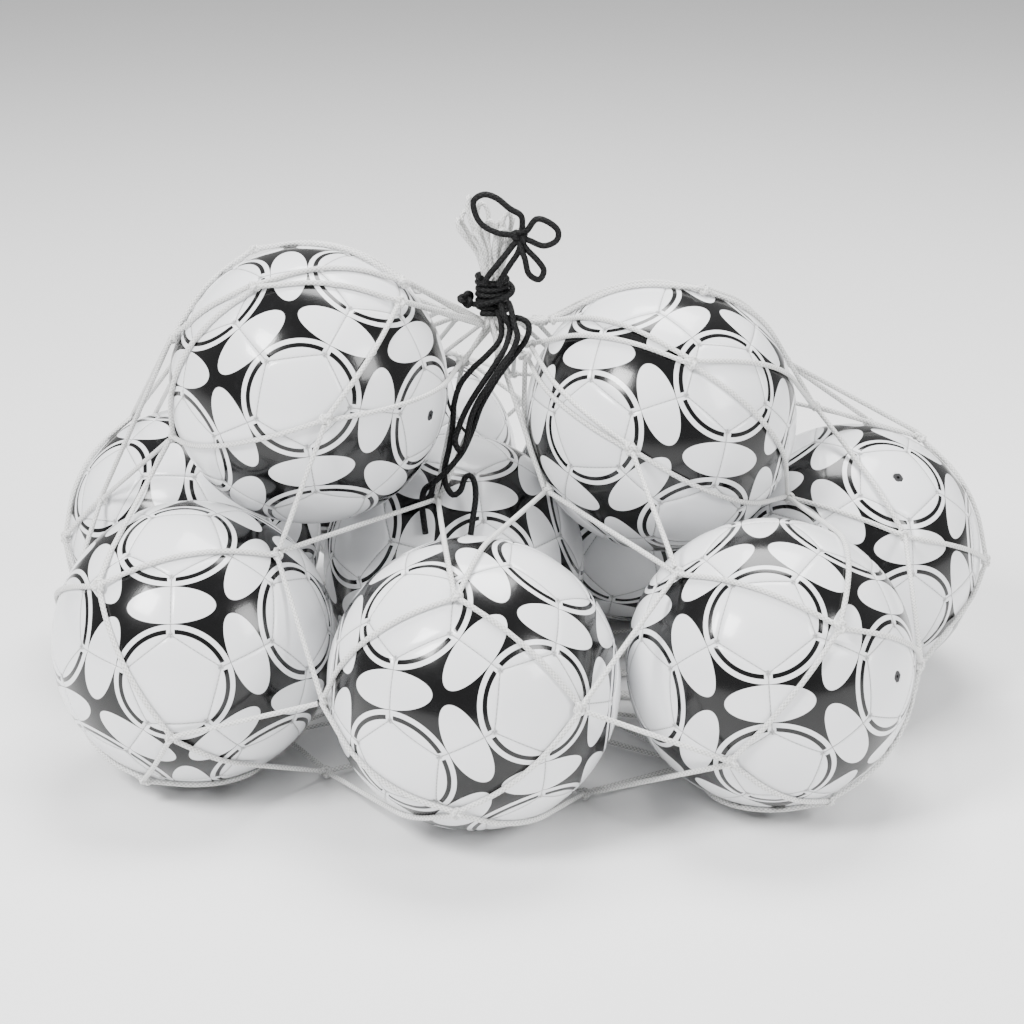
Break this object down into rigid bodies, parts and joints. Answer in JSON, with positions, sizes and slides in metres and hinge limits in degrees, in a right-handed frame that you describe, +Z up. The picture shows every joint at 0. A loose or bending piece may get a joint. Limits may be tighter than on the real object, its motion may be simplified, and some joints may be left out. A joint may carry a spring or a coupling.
{
  "type": "mesh ball bag",
  "caption": "Drawstring mesh bag of knotted diamond netting filled with footballs, gathered, wrapped and tied at the neck with a dark cord.",
  "frame": {"origin": "on the floor under the middle of the filled bag", "axes": "+Z up, -Y the front where the drawcord's ends hang, +X to the right, along the bag's longest side"},
  "size_m": [0.7989, 0.6776, 0.4355],
  "materials": {
    "ball_cover": "gloss",
    "bladder": "matte",
    "valve": "satin",
    "net_twine": "matte",
    "net_knot": "matte",
    "drawcord": "satin"
  },
  "bodies": {
    "bag": {"net_round_1": "net_twine", "net_round_2": "net_twine", "net_round_3": "net_twine", "net_round_4": "net_twine", "net_round_5": "net_twine", "net_round_6": "net_twine", "net_round_7": "net_twine", "net_round_8": "net_twine", "net_round_9": "net_twine", "net_knots": "net_knot", "base_lacing": "net_twine", "tail_right": "drawcord", "tail_left": "drawcord", "tail_bight": "drawcord"},
    "ball_1": {"ball_1_cover": "ball_cover", "ball_1_bladder": "bladder", "ball_1_valve": "valve"},
    "ball_2": {"ball_2_cover": "ball_cover", "ball_2_bladder": "bladder", "ball_2_valve": "valve"},
    "ball_3": {"ball_3_cover": "ball_cover", "ball_3_bladder": "bladder", "ball_3_valve": "valve"},
    "ball_4": {"ball_4_cover": "ball_cover", "ball_4_bladder": "bladder", "ball_4_valve": "valve"},
    "ball_5": {"ball_5_cover": "ball_cover", "ball_5_bladder": "bladder", "ball_5_valve": "valve"},
    "ball_6": {"ball_6_cover": "ball_cover", "ball_6_bladder": "bladder", "ball_6_valve": "valve"},
    "ball_7": {"ball_7_cover": "ball_cover", "ball_7_bladder": "bladder", "ball_7_valve": "valve"},
    "ball_8": {"ball_8_cover": "ball_cover", "ball_8_bladder": "bladder", "ball_8_valve": "valve"},
    "ball_9": {"ball_9_cover": "ball_cover", "ball_9_bladder": "bladder", "ball_9_valve": "valve"},
    "ball_10": {"ball_10_cover": "ball_cover", "ball_10_bladder": "bladder", "ball_10_valve": "valve"},
    "neck": {"neck_bundle": "net_twine", "mouth_loops": "net_twine", "drawcord_wrap": "drawcord", "end_knot": "drawcord", "drawcord_risers": "drawcord", "bow_knot": "drawcord", "drawcord_loop_top": "drawcord", "drawcord_loop_right": "drawcord", "drawcord_loop_low": "drawcord"}
  },
  "joints": [
    {"name": "ball_1_turn", "type": "hinge", "parent": "bag", "child": "ball_1", "pos_m": [-0.253, -0.147, 0.11], "axis": [0, 0, 1], "continuous": true},
    {"name": "ball_2_turn", "type": "hinge", "parent": "bag", "child": "ball_2", "pos_m": [-0.034, -0.226, 0.11], "axis": [0, 0, 1], "continuous": true},
    {"name": "ball_3_turn", "type": "hinge", "parent": "bag", "child": "ball_3", "pos_m": [0.191, -0.191, 0.11], "axis": [0, 0, 1], "continuous": true},
    {"name": "ball_4_turn", "type": "hinge", "parent": "bag", "child": "ball_4", "pos_m": [-0.165, -0.052, 0.289], "axis": [0, 0, 1], "continuous": true},
    {"name": "ball_5_turn", "type": "hinge", "parent": "bag", "child": "ball_5", "pos_m": [0.116, -0.013, 0.249], "axis": [0, 0, 1], "continuous": true},
    {"name": "ball_6_turn", "type": "hinge", "parent": "bag", "child": "ball_6", "pos_m": [-0.282, 0.088, 0.11], "axis": [0, 0, 1], "continuous": true},
    {"name": "ball_7_turn", "type": "hinge", "parent": "bag", "child": "ball_7", "pos_m": [0.282, 0.035, 0.11], "axis": [0, 0, 1], "continuous": true},
    {"name": "ball_8_turn", "type": "hinge", "parent": "bag", "child": "ball_8", "pos_m": [-0.054, 0.014, 0.11], "axis": [0, 0, 1], "continuous": true},
    {"name": "ball_9_turn", "type": "hinge", "parent": "bag", "child": "ball_9", "pos_m": [0.105, 0.167, 0.11], "axis": [0, 0, 1], "continuous": true},
    {"name": "ball_10_turn", "type": "hinge", "parent": "bag", "child": "ball_10", "pos_m": [-0.11, 0.227, 0.126], "axis": [0, 0, 1], "continuous": true},
    {"name": "neck_nod", "type": "hinge", "parent": "bag", "child": "neck", "pos_m": [-0.02, 0, 0.32], "axis": [1, 0, 0], "range_deg": [-14, 6]}
  ]
}
